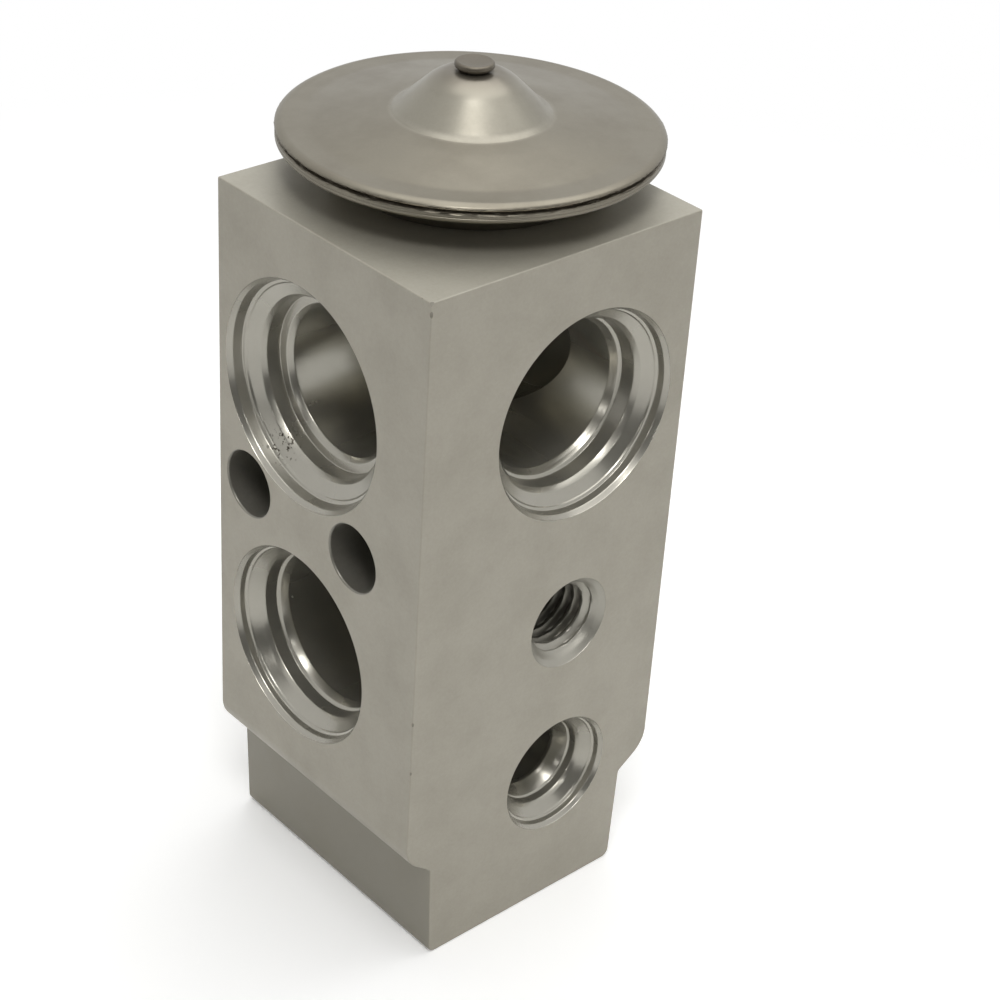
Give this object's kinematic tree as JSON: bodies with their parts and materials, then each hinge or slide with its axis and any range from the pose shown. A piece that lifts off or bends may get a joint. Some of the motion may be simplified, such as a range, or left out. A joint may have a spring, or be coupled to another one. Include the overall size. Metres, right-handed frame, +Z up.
{
  "type": "expansion valve",
  "caption": "Block-type thermostatic expansion valve with stepped refrigerant ports, fixing holes and a round diaphragm head that works a spring-loaded ball",
  "frame": {"origin": "point where the valve axis meets the plane of the block's base", "axes": "+Z up along the valve axis to the diaphragm head; -X out of the face with the two wide ports and the two fixing holes; -Y out of the face with the threaded hole and the narrow inlet port"},
  "size_m": [0.0372, 0.0358, 0.0854],
  "materials": {
    "block": "machined, satin",
    "seals": "matte",
    "head_lower": "pressed, satin",
    "film": "satin",
    "head_upper": "pressed, satin",
    "plug": "satin",
    "stop": "turned",
    "rod": "turned",
    "pin": "ground",
    "retainer": "turned",
    "ball": "polished",
    "holder": "turned",
    "spring": "drawn wire",
    "screw": "turned"
  },
  "bodies": {
    "housing": {"valve_body": "block", "head_ring": "seals", "lower_cover": "head_lower", "diaphragm": "film", "upper_cover": "head_upper", "charge_plug": "plug", "rod_seal": "seals", "seal_retainer": "retainer"},
    "valve_stem": {"stop_plate": "stop", "sensing_rod": "rod", "push_rod": "pin", "valve_ball": "ball", "ball_holder": "holder"},
    "seal_carrier": {"screw_seal": "seals"},
    "adjuster": {"adjusting_screw": "screw", "valve_spring": "spring"}
  },
  "joints": [
    {"name": "valve_lift", "type": "slide", "parent": "housing", "child": "valve_stem", "axis": [0, 0, -1], "range_m": [0, 0.0008], "stiffness_N_per_m": 3000, "springref_m": -0.003, "deforming": ["valve_spring", "diaphragm"]},
    {"name": "screw_travel", "type": "slide", "parent": "housing", "child": "seal_carrier", "axis": [0, 0, 1], "range_m": [-0.001, 0.001], "deforming": ["valve_spring"]},
    {"name": "screw_turn", "type": "hinge", "parent": "seal_carrier", "child": "adjuster", "pos_m": [0, 0, 0], "axis": [0, 0, 1], "range_deg": [-360, 360]}
  ],
  "couplings": [
    {"joint": "screw_travel", "follows": "screw_turn", "m_per_rad": 0.000159}
  ]
}
